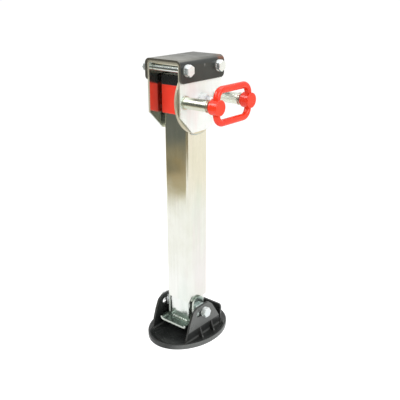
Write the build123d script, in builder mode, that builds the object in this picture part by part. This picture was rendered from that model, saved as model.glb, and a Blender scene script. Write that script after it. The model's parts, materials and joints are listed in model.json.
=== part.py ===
"""Swing-up trailer prop stand with a telescopic square leg.

A folded steel head hangs under a painted saddle and carries the leg between
its cheeks. Two sprung plungers, joined by one red handle, lock a round index
plate on the leg every quarter turn. A smaller tube slides in the leg and ends
in a pressed shoe, which turns on a bolt through the ears of an oval plastic foot.

Millimetres. X is the width, across the head, with the handle at +X.
Y is the length of the head, the way the leg swings. Z is up, with the origin
on the ground under the leg's axis.
"""
from build123d import *
import os

os.makedirs("parts", exist_ok=True)

# Leg tubes
tube_side = 50.0
tube_wall = 3.0
tube_corner = 5.0
tube_bottom = 69.5
slide_gap = 0.3
inner_wall = 2.5
inner_corner = 4.0
inner_top = 300.0

# Pivot and index plate
pivot_height = 422.0
plate_thickness = 4.2
plate_rim = 16.5
plate_chamfer = 0.5
index_radius = 39.0
index_hole_gap = 0.2
swing_gap = 0.4
running_gap = 0.05
spacer_radius = 15.0

# Head: the folded housing under the painted saddle
housing_wall = 3.7
housing_bend = 6.5
housing_margin = 11.5
housing_corner = 29.0
housing_drop = 50.5
saddle_wall = 3.2
saddle_bend = 9.0
saddle_overhang = 2.0
saddle_depth = 34.5
saddle_corner = 7.0
head_rise = 63.5

# Cross bolts of the saddle, and the M10 sizes that every bolt shares
bolt_inset = 12.7
bolt_drop = 15.5
m10_radius = 5.0
m10_flats = 16.0
m10_head = 6.4
m10_nut = 8.4
m10_washer_radius = 9.0
m10_washer = 2.0
m10_lock_nut = 10.0
nut_collar_step = 0.8
head_chamfer = 0.8
thread_end = 3.0
thread_chamfer = 1.0
bolt_hole_gap = 0.3
corner_up = 30.0

# Pivot bolt, with its sleeve
pivot_thread_end = 9.0
sleeve_wall = 2.0
sleeve_gap = 0.1

# Pivot block, moulded in red plastic, and the black pad on it
block_length = 56.0
block_drop = 25.0
block_height = 46.5
block_corner = 2.5
pad_thickness = 15.0
pad_corner = 3.0

# Plungers: barrel, pin and spring
pin_radius = 6.0
pin_nose = 14.5
pin_chamfer = 1.0
pin_collar_radius = 7.0
pin_collar = 3.0
stem_radius = 4.0
tip_gap = 0.3
barrel_radius = 9.0
barrel_bore = 7.3
barrel_guide = 7.2
barrel_length = 47.6
barrel_cap = 4.0
barrel_cap_step = 0.8
barrel_flange_radius = 10.4
barrel_flange = 2.0
spring_wire = 1.5
spring_radius = 5.6
spring_turns = 6
spring_gap = 0.15

# Red handle
boss_gap = 4.6
boss_radius = 12.0
boss_length = 16.0
boss_round = 1.5
stem_depth = 11.0
handle_rod = 5.4
handle_rise = 24.8
handle_bend = 13.5

# Clamp bolt of the telescopic tube, on the back of the leg
clamp_height = 95.0
clamp_grip = 3.0

# Shoe, pressed from plate, under the inner tube
shoe_floor = 28.5
shoe_wall = 3.5
shoe_bend = 6.0
shoe_toe = 40.0
shoe_heel = 28.0
shoe_lip = 3.0
shoe_ear_length = 27.0
shoe_ear_top = 74.0
shoe_ear_round = 12.0
shoe_tube_gap = 0.4
foot_bolt_height = 50.0
foot_bolt_forward = 4.0

# Foot, moulded in black plastic
foot_width = 126.0
foot_length = 160.0
rim_height = 9.0
rim_land = 3.0
rim_slope = 8.0
deck = 5.0
root = 1.0
foot_edge = 1.2
ear_wall = 4.0
ear_gap = 0.3
spacer_nut = 8.4
spacer_side = 18.5
ear_front_foot = 53.0
ear_front_waist = 40.0
ear_waist_height = 42.0
ear_front_shoulder = 32.5
ear_front_height = 58.5
ear_front_top = 21.0
ear_top = 63.5
ear_back_top = 8.5
ear_back_height = 64.0
ear_back_shoulder = 18.0
ear_back_low = 56.0
ear_back_foot = 51.5
ear_round = 9.0
ear_face_low = 24.0
ear_face_step = 1.5
slot_travel = 15.0
slot_gap = 0.3
back_wall_place = 42.0
back_wall = 3.5
back_wall_height = 43.0
back_wall_round = 6.0
rib_spread = 15.5
rib_wall = 3.0
rib_top = 24.0
rib_foot = 7.5

# Places worked out from the sizes above
tube_half = tube_side / 2
bore_half = tube_half - tube_wall
inner_half = bore_half - slide_gap
plate_face = tube_half + plate_thickness
tube_top = pivot_height - block_drop
head_top = pivot_height + head_rise
bolt_height = head_top - bolt_drop
housing_face = plate_face + swing_gap
housing_half = housing_face + housing_wall
housing_length = 2 * (index_radius + housing_margin)
plate_radius = index_radius + plate_rim
bolt_spread = housing_length / 2 - bolt_inset
saddle_length = housing_length + 2 * saddle_overhang
saddle_half = housing_half + saddle_wall
housing_top = head_top - saddle_wall
housing_low = pivot_height - housing_drop
saddle_low = head_top - saddle_depth
sleeve_radius = m10_radius + sleeve_gap + sleeve_wall
shoe_face = tube_half + shoe_tube_gap
shoe_half = shoe_face + shoe_wall
nut_start = shoe_half + ear_gap / 2
ear_inside = nut_start + spacer_nut + ear_gap
ear_outside = ear_inside + ear_wall
pin_tip = plate_face + tip_gap
barrel_start = housing_face
barrel_end = housing_half + barrel_length
boss_start = barrel_end + boss_gap
collar_start = pin_tip + pin_nose
stem_start = collar_start + pin_collar
spring_start = stem_start + spring_gap
spring_end = barrel_end - barrel_cap - spring_gap
stem_end = boss_start + stem_depth
rib_reach = ear_outside + rib_foot
foot_axis = -foot_bolt_forward


def across(x, y, z):
    """Plane square to the width at x, with its own x along Y and y along Z."""
    return Plane(origin=(x, y, z), x_dir=(0, 1, 0), z_dir=(1, 0, 0))


def along(x, y, z):
    """Plane square to the length at y, facing +Y, with its own x along Z."""
    return Plane(origin=(x, y, z), x_dir=(0, 0, 1), z_dir=(0, 1, 0))


def disc(plane, radius, length, mode=Mode.ADD):
    """A round bar that starts on the plane, or a round hole in its place."""
    with BuildSketch(plane) as section:
        Circle(radius)
    extrude(section.sketch, amount=length, mode=mode)


def hexagon(plane, flats, length, turn=0.0):
    """A hexagonal bar that starts on the plane, by its size across flats and its turn."""
    with BuildSketch(plane) as section:
        RegularPolygon(radius=flats / 2, side_count=6, major_radius=False, rotation=turn)
    extrude(section.sketch, amount=length)


def folded_section(half_width, low, high, wall, bend):
    """Section of an inverted U folded from plate, with its outer bend radius."""
    with BuildSketch(Plane.XZ) as section:
        with BuildLine():
            outer = FilletPolyline(
                (-half_width, low), (-half_width, high), (half_width, high), (half_width, low), radius=bend
            )
            inner = FilletPolyline(
                (half_width - wall, low),
                (half_width - wall, high - wall),
                (wall - half_width, high - wall),
                (wall - half_width, low),
                radius=bend - wall,
            )
            Line(outer @ 1, inner @ 0)
            Line(inner @ 1, outer @ 0)
        make_face()
    return section.sketch


def square_tube(side, wall, corner, low, high):
    """Square tube standing on the axis, with rounded corners."""
    with BuildSketch(Plane.XY.offset(low)) as section:
        RectangleRounded(side, side, corner)
        RectangleRounded(side - 2 * wall, side - 2 * wall, corner - wall, mode=Mode.SUBTRACT)
    extrude(section.sketch, amount=high - low)


# Painted saddle: a folded plate whose flat top is fixed under the trailer
with BuildPart() as saddle_cover:
    profile = folded_section(saddle_half, saddle_low, head_top, saddle_wall, saddle_bend)
    extrude(profile, amount=saddle_length / 2, both=True)
    with BuildSketch(Plane.YZ) as side:
        with Locations((0, (saddle_low + head_top) / 2)):
            Rectangle(saddle_length, saddle_depth)
        fillet(side.vertices().group_by(Axis.Y)[0], radius=saddle_corner)
    extrude(amount=saddle_half, both=True, mode=Mode.INTERSECT)
    for y in (-bolt_spread, bolt_spread):
        disc(
            across(-saddle_half, y, bolt_height),
            m10_radius + bolt_hole_gap,
            2 * saddle_half,
            Mode.SUBTRACT,
        )

# Zinc housing: two cheeks and a web folded from one plate
with BuildPart() as housing:
    profile = folded_section(housing_half, housing_low, housing_top, housing_wall, housing_bend)
    extrude(profile, amount=housing_length / 2, both=True)
    with BuildSketch(Plane.YZ) as side:
        with Locations((0, (housing_low + housing_top) / 2)):
            Rectangle(housing_length, housing_top - housing_low)
        chamfer(side.vertices().group_by(Axis.Y)[0], length=housing_corner)
    extrude(amount=housing_half, both=True, mode=Mode.INTERSECT)
    for y in (-bolt_spread, bolt_spread):
        disc(
            across(-housing_half, y, bolt_height),
            m10_radius + bolt_hole_gap,
            2 * housing_half,
            Mode.SUBTRACT,
        )
    disc(
        across(-housing_half, 0, pivot_height),
        m10_radius + bolt_hole_gap,
        2 * housing_half,
        Mode.SUBTRACT,
    )
    for y in (-index_radius, index_radius):
        disc(across(0, y, pivot_height), barrel_radius + running_gap, housing_half, Mode.SUBTRACT)

# Cross bolts that hold the housing in the saddle, heads at +X
bolt_seat = saddle_half + m10_washer
nut_end = bolt_seat + m10_lock_nut
with BuildPart() as cover_bolts:
    for y in (-bolt_spread, bolt_spread):
        disc(across(-nut_end - thread_end, y, bolt_height), m10_radius, nut_end + thread_end + bolt_seat)
        hexagon(across(bolt_seat, y, bolt_height), m10_flats, m10_head, corner_up)
    chamfer(cover_bolts.edges().filter_by(GeomType.LINE).group_by(Axis.X)[-1], length=head_chamfer)

with BuildPart() as cover_washers:
    for y in (-bolt_spread, bolt_spread):
        for x in (-bolt_seat, saddle_half):
            disc(across(x, y, bolt_height), m10_washer_radius, m10_washer)
            disc(across(x, y, bolt_height), m10_radius + running_gap, m10_washer, Mode.SUBTRACT)

with BuildPart() as cover_nuts:
    for y in (-bolt_spread, bolt_spread):
        hexagon(across(-bolt_seat - m10_nut, y, bolt_height), m10_flats, m10_nut, corner_up)
        disc(
            across(-nut_end, y, bolt_height),
            m10_flats / 2 - nut_collar_step,
            m10_lock_nut - m10_nut,
        )
        disc(across(-nut_end, y, bolt_height), m10_radius + running_gap, m10_lock_nut, Mode.SUBTRACT)

# Pivot: bolt with its head at -X, lock nut at +X, and a sleeve between the cheeks
pivot_seat = housing_half + m10_washer
pivot_end = pivot_seat + m10_lock_nut + pivot_thread_end
with BuildPart() as pivot_bolt:
    disc(across(-pivot_seat, 0, pivot_height), m10_radius, pivot_seat + pivot_end)
    chamfer(pivot_bolt.edges().filter_by(GeomType.CIRCLE).sort_by(Axis.X)[-1], length=thread_chamfer)
    hexagon(across(-pivot_seat - m10_head, 0, pivot_height), m10_flats, m10_head)
    chamfer(pivot_bolt.edges().filter_by(GeomType.LINE).group_by(Axis.X)[0], length=head_chamfer)

with BuildPart() as pivot_washers:
    for x in (-pivot_seat, housing_half):
        disc(across(x, 0, pivot_height), m10_washer_radius, m10_washer)
        disc(across(x, 0, pivot_height), m10_radius + running_gap, m10_washer, Mode.SUBTRACT)

with BuildPart() as pivot_nut:
    hexagon(across(pivot_seat, 0, pivot_height), m10_flats, m10_nut)
    disc(
        across(pivot_seat + m10_nut, 0, pivot_height),
        m10_flats / 2 - nut_collar_step,
        m10_lock_nut - m10_nut,
    )
    disc(across(pivot_seat, 0, pivot_height), m10_radius + running_gap, m10_lock_nut, Mode.SUBTRACT)

with BuildPart() as pivot_sleeve:
    disc(across(-housing_face, 0, pivot_height), sleeve_radius, 2 * housing_face)
    disc(across(-housing_face, 0, pivot_height), m10_radius + sleeve_gap, 2 * housing_face, Mode.SUBTRACT)

# Plunger barrels: flanged tubes welded into the +X cheek, closed by a stepped cap
with BuildPart() as plunger_barrels:
    for y in (-index_radius, index_radius):
        disc(across(barrel_start, y, pivot_height), barrel_radius, barrel_end - barrel_cap - barrel_start)
        disc(across(housing_half, y, pivot_height), barrel_flange_radius, barrel_flange)
        disc(across(barrel_start, y, pivot_height), pin_radius + running_gap, barrel_guide, Mode.SUBTRACT)
        disc(
            across(barrel_start + barrel_guide, y, pivot_height),
            barrel_bore,
            barrel_end - barrel_cap - barrel_start - barrel_guide,
            Mode.SUBTRACT,
        )

with BuildPart() as barrel_caps:
    for y in (-index_radius, index_radius):
        for x, radius in (
            (barrel_end - barrel_cap, barrel_radius + barrel_cap_step),
            (barrel_end - barrel_cap / 2, barrel_radius - barrel_cap_step),
        ):
            disc(across(x, y, pivot_height), radius, barrel_cap / 2)
        disc(
            across(barrel_end - barrel_cap, y, pivot_height),
            stem_radius + running_gap,
            barrel_cap,
            Mode.SUBTRACT,
        )

# Index pins, turned with a collar for the spring, drawn clear of the index plate
with BuildPart() as plunger_pins:
    for y in (-index_radius, index_radius):
        disc(across(pin_tip, y, pivot_height), pin_radius, pin_nose)
        disc(across(collar_start, y, pivot_height), pin_collar_radius, pin_collar)
        disc(across(stem_start, y, pivot_height), stem_radius, stem_end - stem_start)
    chamfer(plunger_pins.edges().filter_by(GeomType.CIRCLE).group_by(Axis.X)[0], length=pin_chamfer)

# Springs that push the pins home, coiled round the stems
coil_height = spring_end - spring_start - spring_wire
with BuildPart() as plunger_springs:
    for y in (-index_radius, index_radius):
        coil = Helix(
            pitch=coil_height / spring_turns,
            height=coil_height,
            radius=spring_radius,
            center=(spring_start + spring_wire / 2, y, pivot_height),
            direction=(1, 0, 0),
        )
        with BuildSketch(Plane(origin=coil @ 0, z_dir=coil % 0)):
            RegularPolygon(radius=spring_wire / 2, side_count=6)
        sweep(path=coil, is_frenet=True)

# Red handle: a closed loop through two bosses that grip the pin stems
rod_plane = boss_start + boss_length / 2
with BuildPart() as release_handle:
    with BuildLine() as loop:
        FilletPolyline(
            (rod_plane, -index_radius, pivot_height),
            (rod_plane, -index_radius, pivot_height + handle_rise),
            (rod_plane, index_radius, pivot_height + handle_rise),
            (rod_plane, index_radius, pivot_height),
            radius=handle_bend,
        )
    with BuildSketch(Plane(origin=loop.line @ 0, z_dir=(0, 0, 1))):
        Circle(handle_rod)
    sweep()
    mirror(about=Plane.XY.offset(pivot_height))
    for y in (-index_radius, index_radius):
        disc(across(boss_start, y, pivot_height), boss_radius, boss_length)
    ends = release_handle.edges().filter_by(GeomType.CIRCLE).group_by(Axis.X)
    fillet(ends[-1] + ends[0], radius=boss_round)
    for y in (-index_radius, index_radius):
        disc(across(boss_start, y, pivot_height), stem_radius + running_gap, stem_depth, Mode.SUBTRACT)

# Round index plate, welded to the tube's +X side, with four locking holes
with BuildPart() as index_plate_right:
    with BuildSketch(across(tube_half, 0, pivot_height)) as section:
        Circle(plate_radius)
        Circle(sleeve_radius + running_gap, mode=Mode.SUBTRACT)
        with PolarLocations(index_radius, 4):
            Circle(pin_radius + index_hole_gap, mode=Mode.SUBTRACT)
    extrude(amount=plate_thickness)
    rims = index_plate_right.edges().filter_by(GeomType.CIRCLE)
    chamfer(rims.group_by(SortBy.RADIUS)[-1], length=plate_chamfer)

# Spacer ring on the sleeve, which centres the leg on the side without a plate
with BuildPart() as pivot_spacer:
    disc(across(-plate_face, 0, pivot_height), spacer_radius, plate_thickness)
    disc(
        across(-plate_face, 0, pivot_height),
        sleeve_radius + running_gap,
        plate_thickness,
        Mode.SUBTRACT,
    )

# Red block that fills the fork above the tube and turns on the sleeve
with BuildPart() as pivot_block:
    with BuildSketch(across(-tube_half, 0, tube_top + block_height / 2)):
        RectangleRounded(block_length, block_height, block_corner)
    extrude(amount=tube_side)
    disc(across(-tube_half, 0, pivot_height), sleeve_radius + running_gap, tube_side, Mode.SUBTRACT)

# Black pad on top of the block
with BuildPart() as top_pad:
    with BuildSketch(Plane.XY.offset(tube_top + block_height)):
        Rectangle(tube_side, block_length)
    extrude(amount=pad_thickness)
    fillet(top_pad.edges().filter_by(Axis.X).group_by(Axis.Z)[-1], radius=pad_corner)

# Outer tube of the leg, with the hole for the clamp bolt in its back
with BuildPart() as outer_tube:
    square_tube(tube_side, tube_wall, tube_corner, tube_bottom, tube_top)
    disc(along(0, 0, clamp_height), m10_radius + bolt_hole_gap, tube_half, Mode.SUBTRACT)

clamp_tip = inner_half + slide_gap
clamp_seat = tube_half + m10_nut
with BuildPart() as clamp_nut:
    hexagon(along(0, tube_half, clamp_height), m10_flats, m10_nut)
    disc(along(0, tube_half, clamp_height), m10_radius + running_gap, m10_nut, Mode.SUBTRACT)

with BuildPart() as clamp_bolt:
    disc(along(0, clamp_tip, clamp_height), m10_radius, clamp_seat + clamp_grip - clamp_tip)
    hexagon(along(0, clamp_seat + clamp_grip, clamp_height), m10_flats, m10_head)
    chamfer(clamp_bolt.edges().filter_by(GeomType.LINE).group_by(Axis.Y)[-1], length=head_chamfer)

# Inner tube, which slides in the outer one and stands on the shoe
with BuildPart() as inner_tube:
    square_tube(2 * inner_half, inner_wall, inner_corner, shoe_floor, inner_top)
    disc(
        across(-inner_half, foot_axis, foot_bolt_height),
        m10_radius + bolt_hole_gap,
        2 * inner_half,
        Mode.SUBTRACT,
    )

# Shoe: a plate folded up into two ears beside the tube
with BuildPart() as foot_shoe:
    with BuildSketch(Plane.XZ.offset(-shoe_heel)):
        with BuildLine():
            floor_low = shoe_floor - shoe_wall
            outer = FilletPolyline(
                (-shoe_half, shoe_ear_top),
                (-shoe_half, floor_low),
                (shoe_half, floor_low),
                (shoe_half, shoe_ear_top),
                radius=shoe_bend,
            )
            inner = FilletPolyline(
                (shoe_face, shoe_ear_top),
                (shoe_face, shoe_floor),
                (-shoe_face, shoe_floor),
                (-shoe_face, shoe_ear_top),
                radius=shoe_bend - shoe_wall,
            )
            Line(outer @ 1, inner @ 0)
            Line(inner @ 1, outer @ 0)
        make_face()
    extrude(amount=shoe_heel + shoe_toe)
    with BuildSketch(Plane.YZ) as side:
        with Locations((foot_axis, (floor_low + shoe_ear_top) / 2)):
            Rectangle(shoe_ear_length, shoe_ear_top - floor_low)
        fillet(side.vertices().group_by(Axis.Y)[-1], radius=shoe_ear_round)
        with Locations(((shoe_heel - shoe_toe) / 2, (floor_low + shoe_floor + shoe_lip) / 2)):
            Rectangle(shoe_heel + shoe_toe, shoe_floor + shoe_lip - floor_low)
    extrude(amount=shoe_half, both=True, mode=Mode.INTERSECT)
    disc(
        across(-shoe_half, foot_axis, foot_bolt_height),
        m10_radius + running_gap,
        2 * shoe_half,
        Mode.SUBTRACT,
    )

# Foot bolt, head at +X, with a square nut inside each ear and a lock nut at -X
foot_seat = ear_outside + ear_gap
foot_head = foot_seat + m10_washer
with BuildPart() as foot_bolt:
    disc(
        across(-foot_head - m10_lock_nut - thread_end, foot_axis, foot_bolt_height),
        m10_radius,
        2 * foot_head + m10_lock_nut + thread_end,
    )
    hexagon(across(foot_head, foot_axis, foot_bolt_height), m10_flats, m10_head)
    chamfer(foot_bolt.edges().filter_by(GeomType.LINE).group_by(Axis.X)[-1], length=head_chamfer)

with BuildPart() as foot_spacer_nuts:
    for x in (-nut_start - spacer_nut, nut_start):
        with BuildSketch(across(x, foot_axis, foot_bolt_height)) as section:
            Rectangle(spacer_side, spacer_side)
            Circle(m10_radius + running_gap, mode=Mode.SUBTRACT)
        extrude(amount=spacer_nut)

with BuildPart() as foot_washers:
    for x in (-foot_head, foot_seat):
        disc(across(x, foot_axis, foot_bolt_height), m10_washer_radius, m10_washer)
        disc(across(x, foot_axis, foot_bolt_height), m10_radius + running_gap, m10_washer, Mode.SUBTRACT)

with BuildPart() as foot_lock_nut:
    hexagon(across(-foot_head - m10_nut, foot_axis, foot_bolt_height), m10_flats, m10_nut)
    disc(
        across(-foot_head - m10_lock_nut, foot_axis, foot_bolt_height),
        m10_flats / 2 - nut_collar_step,
        m10_lock_nut - m10_nut,
    )
    disc(
        across(-foot_head - m10_lock_nut, foot_axis, foot_bolt_height),
        m10_radius + running_gap,
        m10_lock_nut,
        Mode.SUBTRACT,
    )

# Foot: an oval dish with two slotted ears, a back wall and ribs behind the ears
with BuildPart() as foot_pad:
    with BuildSketch():
        Ellipse(foot_width / 2, foot_length / 2)
    extrude(amount=rim_height)
    fillet(foot_pad.edges().group_by(Axis.Z)[0], radius=foot_edge)
    fillet(foot_pad.edges().group_by(Axis.Z)[-1], radius=foot_edge)
    for height, inset in ((deck, rim_land + rim_slope), (rim_height, rim_land)):
        with BuildSketch(Plane.XY.offset(height)):
            Ellipse(foot_width / 2 - inset, foot_length / 2 - inset)
    loft(mode=Mode.SUBTRACT)
    for outer_face, outwards in ((ear_outside, -1), (-ear_outside, 1)):
        with BuildSketch(across(outer_face, 0, 0)) as ear:
            with BuildLine():
                Polyline(
                    (-ear_front_foot, deck - root),
                    (-ear_front_waist, ear_waist_height),
                    (-ear_front_shoulder, ear_front_height),
                    (-ear_front_top, ear_top),
                    (ear_back_top, ear_back_height),
                    (ear_back_shoulder, ear_back_low),
                    (ear_back_foot, deck - root),
                    close=True,
                )
            make_face()
            fillet(ear.vertices().group_by(Axis.Y)[1:], radius=ear_round)
        extrude(amount=outwards * ear_wall)
        with BuildSketch(across(outer_face, 0, 0)):
            with Locations(((ear_back_foot - ear_front_foot) / 2, (deck + ear_face_low) / 2)):
                Rectangle(ear_back_foot + ear_front_foot, ear_face_low - deck)
        extrude(amount=outwards * ear_face_step, mode=Mode.SUBTRACT)
    with BuildSketch(Plane.XZ.offset(-back_wall_place - back_wall)) as wall:
        with Locations((0, (deck - root + back_wall_height) / 2)):
            Rectangle(2 * ear_outside, back_wall_height - deck + root)
        fillet(wall.vertices().group_by(Axis.Y)[-1], radius=back_wall_round)
    extrude(amount=back_wall)
    for side_sign in (-1, 1):
        for y in (-rib_spread, rib_spread):
            with BuildSketch(Plane.XZ.offset(-y)):
                with BuildLine():
                    Polyline(
                        (side_sign * (ear_outside - ear_wall / 2), deck - root),
                        (side_sign * (ear_outside - ear_wall / 2), rib_top),
                        (side_sign * ear_outside, rib_top),
                        (side_sign * rib_reach, deck),
                        (side_sign * rib_reach, deck - root),
                        close=True,
                    )
                make_face()
            extrude(amount=rib_wall / 2, both=True)
    with BuildSketch(across(-foot_width, 0, foot_bolt_height)):
        with Locations((foot_axis - slot_travel / 2, 0)):
            SlotCenterToCenter(slot_travel, 2 * (m10_radius + slot_gap))
    extrude(amount=2 * foot_width, mode=Mode.SUBTRACT)

named_parts = {
    "saddle_cover": saddle_cover,
    "housing": housing,
    "cover_bolts": cover_bolts,
    "cover_washers": cover_washers,
    "cover_nuts": cover_nuts,
    "pivot_bolt": pivot_bolt,
    "pivot_washers": pivot_washers,
    "pivot_nut": pivot_nut,
    "pivot_sleeve": pivot_sleeve,
    "plunger_barrels": plunger_barrels,
    "barrel_caps": barrel_caps,
    "plunger_pins": plunger_pins,
    "plunger_springs": plunger_springs,
    "release_handle": release_handle,
    "index_plate_right": index_plate_right,
    "pivot_spacer": pivot_spacer,
    "pivot_block": pivot_block,
    "top_pad": top_pad,
    "outer_tube": outer_tube,
    "clamp_nut": clamp_nut,
    "clamp_bolt": clamp_bolt,
    "inner_tube": inner_tube,
    "foot_shoe": foot_shoe,
    "foot_bolt": foot_bolt,
    "foot_spacer_nuts": foot_spacer_nuts,
    "foot_washers": foot_washers,
    "foot_lock_nut": foot_lock_nut,
    "foot_pad": foot_pad,
}

for name, built in named_parts.items():
    built.part.label = name
    export_step(built.part, f"parts/{name}.step")
    print(name, round(built.part.volume / 1000, 2), "cm3")
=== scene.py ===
# %% [markdown]
# # Trailer prop stand
# A steel leg that props up a parked trailer. A folded head under a black saddle
# carries the leg, two sprung plungers with one red handle lock the round plate on
# the leg's side, and the leg ends in a black moulded foot.
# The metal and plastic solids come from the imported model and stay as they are.
# This script gives them their finishes, adds the small things that a CAD model
# leaves out, and sets up the studio.

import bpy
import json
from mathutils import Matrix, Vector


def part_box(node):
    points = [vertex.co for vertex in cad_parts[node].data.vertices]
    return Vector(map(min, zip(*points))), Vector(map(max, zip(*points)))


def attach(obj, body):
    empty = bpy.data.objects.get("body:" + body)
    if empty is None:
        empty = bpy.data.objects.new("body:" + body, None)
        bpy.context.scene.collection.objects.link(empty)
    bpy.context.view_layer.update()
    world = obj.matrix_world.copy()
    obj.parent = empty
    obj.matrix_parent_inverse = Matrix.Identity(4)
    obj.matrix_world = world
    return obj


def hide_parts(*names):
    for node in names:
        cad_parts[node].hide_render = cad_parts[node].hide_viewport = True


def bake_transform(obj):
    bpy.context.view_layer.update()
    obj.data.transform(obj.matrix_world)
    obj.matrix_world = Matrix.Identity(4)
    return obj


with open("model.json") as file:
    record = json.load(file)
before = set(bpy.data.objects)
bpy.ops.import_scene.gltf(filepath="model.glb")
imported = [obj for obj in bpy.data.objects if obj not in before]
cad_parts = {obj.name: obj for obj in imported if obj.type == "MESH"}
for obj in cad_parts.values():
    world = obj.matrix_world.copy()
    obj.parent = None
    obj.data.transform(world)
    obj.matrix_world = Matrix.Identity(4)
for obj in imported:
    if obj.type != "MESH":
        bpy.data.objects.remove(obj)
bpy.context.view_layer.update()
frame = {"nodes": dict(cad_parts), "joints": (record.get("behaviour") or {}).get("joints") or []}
nodes = frame["nodes"]

# %% [markdown]
# ## Other modules
# Blender's own modules do the rest. Shapes could be drawn in the viewport, but the
# operators of bmesh give the same shape every time the script runs. Blender counts
# in metres, and small sizes are easier to read in millimetres.

# %% Other modules
import json
from math import cos, pi, radians, sin

import bmesh
import bpy
from mathutils import Matrix, Vector, noise

MM = 0.001
scene = bpy.context.scene
print("one millimetre is", MM)

# %% [markdown]
# ## Camera
# The picture was taken from a little above the head, with the handle's side
# turned to the right. The view is written as an azimuth, an elevation and a
# distance to a point near the middle of the leg, because those are the numbers
# that someone would set on a tripod. The camera could also be placed by hand in the
# viewport, but numbers give the same picture every time.

# %% Camera
view_azimuth = radians(39.65)
view_elevation = radians(20.01)
view_roll = radians(-0.12)
view_distance = 1044.7 * MM
view_side_step = 22.72 * MM
view_target = Vector((0, 0, 246.6 * MM))

level_reach = cos(view_elevation)
back = Vector(
    (sin(view_azimuth) * level_reach, -cos(view_azimuth) * level_reach, sin(view_elevation))
)
aim = (-back).to_track_quat("-Z", "Y").to_matrix().to_4x4()
turn = aim @ Matrix.Rotation(view_roll, 4, "Z")
camera_data = bpy.data.cameras.new("camera")
camera_data.lens = 55.68
camera_data.sensor_width = 36
camera_data.clip_start = 10 * MM
camera = bpy.data.objects.new("camera", camera_data)
scene.collection.objects.link(camera)
side_step = turn.to_3x3() @ Vector((view_side_step, 0, 0))
camera_place = view_target + back * view_distance + side_step
camera.matrix_world = Matrix.Translation(camera_place) @ turn
scene.camera = camera
print("camera at", [round(c, 3) for c in camera_place])

# %% [markdown]
# ## Node helpers
# A material is a small graph of nodes. One helper adds a node and fills its inputs,
# so that each finish below reads as a list of steps. An input is either a number, a
# colour or another node's output.


# %% Adding a node
def add(tree, kind, output=0, **inputs):
    """Adds a node, fills its inputs by name or number, and returns one of its outputs."""
    settings = inputs.pop("settings", {})
    node = tree.nodes.new(kind)
    for name, value in settings.items():
        setattr(node, name, value)
    for name, value in inputs.items():
        key = int(name[1:]) if name[0] == "n" and name[1:].isdigit() else name.replace("_", " ")
        fill(tree, node.inputs[key], value)
    return node.outputs[output]


def fill(tree, socket, value):
    """Links an output to a socket, or sets a plain value on it."""
    if isinstance(value, bpy.types.NodeSocket):
        tree.links.new(value, socket)
    else:
        socket.default_value = value


print("helpers add and fill")

# %% [markdown]
# Arithmetic and blends come back in every finish. With a name for each of them, a
# line says what it does to the mask and not which node it needs.


# %% Arithmetic and blends
def calc(tree, operation, a, b=0.0, clamp=False):
    """One step of arithmetic on a value."""
    settings = {"operation": operation, "use_clamp": clamp}
    return add(tree, "ShaderNodeMath", settings=settings, n0=a, n1=b)


def times(tree, a, b, clamp=False):
    """The product of two values, which is where two masks overlap."""
    return calc(tree, "MULTIPLY", a, b, clamp)


def plus(tree, a, b, clamp=False):
    """The sum of two values."""
    return calc(tree, "ADD", a, b, clamp)


def minus(tree, a, b, clamp=False):
    """The difference of two values. One minus a mask turns it inside out."""
    return calc(tree, "SUBTRACT", a, b, clamp)


def mix(tree, mask, a, b):
    """A blend from one colour to another by a mask."""
    settings = {"data_type": "RGBA"}
    return add(tree, "ShaderNodeMix", output=2, settings=settings, n0=mask, n6=a, n7=b)


def fade(tree, value, low, high, start=0.0, end=1.0):
    """Maps a value from one range smoothly to another."""
    settings = {"interpolation_type": "SMOOTHSTEP"}
    return add(
        tree, "ShaderNodeMapRange", settings=settings, n0=value, n1=low, n2=high, n3=start, n4=end
    )


print("helpers calc, times, plus, minus, mix and fade")

# %% [markdown]
# Every pattern here is fixed to the piece and measured in its own metres, so that
# it stays put when a joint moves and keeps its scale on a long tube and a small nut.


# %% Places on a piece
def place_on(tree):
    """The place on the piece, in the object's own metres."""
    return add(tree, "ShaderNodeTexCoord", output=3)


def place_along(tree, axis):
    """How far along X, Y or Z the place lies."""
    return add(tree, "ShaderNodeSeparateXYZ", output="XYZ".index(axis), n0=place_on(tree))


def near_point(tree, point, reach, full):
    """A mask round one point of the piece, from its reach to where it is full."""
    settings = {"operation": "DISTANCE"}
    away = add(
        tree, "ShaderNodeVectorMath", output=1, settings=settings, n0=place_on(tree), n1=point
    )
    return fade(tree, away, reach, full)


def faces_along(tree, axis, low=0.6, high=0.9):
    """A mask of the faces that look along X, Y or Z, either way."""
    way = add(tree, "ShaderNodeTexCoord", output=1)
    part = add(tree, "ShaderNodeSeparateXYZ", output="XYZ".index(axis), n0=way)
    return fade(tree, calc(tree, "ABSOLUTE", part), low, high)


def cloud(tree, scale, detail=3.0, stretch=(1, 1, 1), offset=(0, 0, 0)):
    """Noise on the piece, stretched where a finish has a direction."""
    moved = add(
        tree, "ShaderNodeMapping", Vector=place_on(tree), Scale=stretch, Location=offset
    )
    return add(
        tree, "ShaderNodeTexNoise", Vector=moved, Scale=scale, Detail=detail, Roughness=0.55
    )


print("helpers place_on, place_along, near_point, faces_along and cloud")

# %% [markdown]
# ## Shared effects
# Edge wear, dust and painted shade in corners, and scratches come back on several
# finishes, so each is a node group with its own inputs. They put out masks only: the
# shader stays in the material, where an export can read it.


# %% Group helpers
def new_group(name, inputs, outputs):
    """A node group with float inputs and outputs, and its two end nodes."""
    tree = bpy.data.node_groups.new(name, "ShaderNodeTree")
    for socket, value in inputs.items():
        made = tree.interface.new_socket(socket, in_out="INPUT", socket_type="NodeSocketFloat")
        made.default_value = value
    for socket in outputs:
        tree.interface.new_socket(socket, in_out="OUTPUT", socket_type="NodeSocketFloat")
    return tree, tree.nodes.new("NodeGroupInput"), tree.nodes.new("NodeGroupOutput")


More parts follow.
